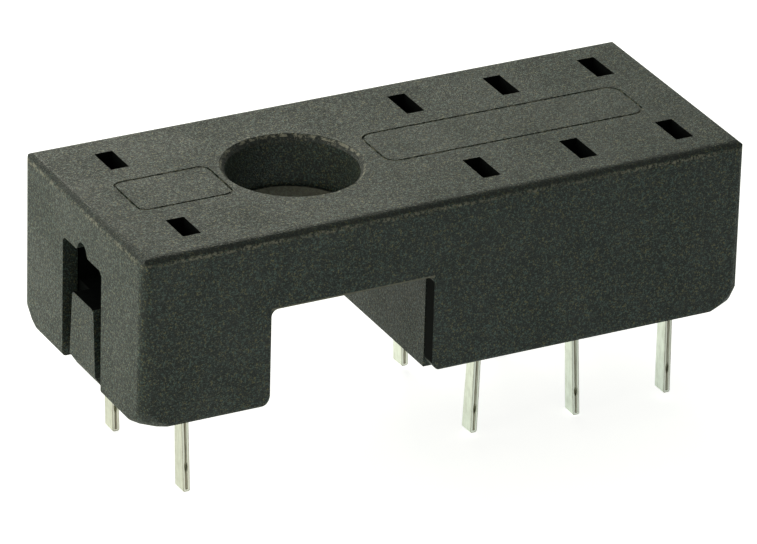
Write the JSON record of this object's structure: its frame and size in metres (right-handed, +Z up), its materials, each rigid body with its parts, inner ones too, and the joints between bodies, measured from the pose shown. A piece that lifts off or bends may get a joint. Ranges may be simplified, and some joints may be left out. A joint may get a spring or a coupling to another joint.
{
  "type": "relay socket",
  "caption": "Low black moulded socket that holds a two-pole plug-in relay on a circuit board, with folded spring contacts and an open arch under a round passage.",
  "frame": {"origin": "on the plane of the solder-tail tips, below the middle of the housing", "axes": "+X along the socket from the coil end to the switch end, +Z up towards the relay, +Y to the back row"},
  "size_m": [0.0306, 0.0126, 0.0137],
  "materials": {
    "housing_plastic": "fine-grained black thermoplastic, slightly worn to grey along its edges",
    "base_plastic": "fine-grained black thermoplastic",
    "tinned_contact": "tin-plated strip with bare, brownish cut edges"
  },
  "bodies": {
    "root": {"housing": "housing_plastic", "base": "base_plastic", "coil_contact_front": "tinned_contact", "coil_contact_back": "tinned_contact", "switch_contact_front_1": "tinned_contact", "switch_contact_front_2": "tinned_contact", "switch_contact_front_3": "tinned_contact", "switch_contact_back_1": "tinned_contact", "switch_contact_back_2": "tinned_contact", "switch_contact_back_3": "tinned_contact"}
  },
  "joints": []
}
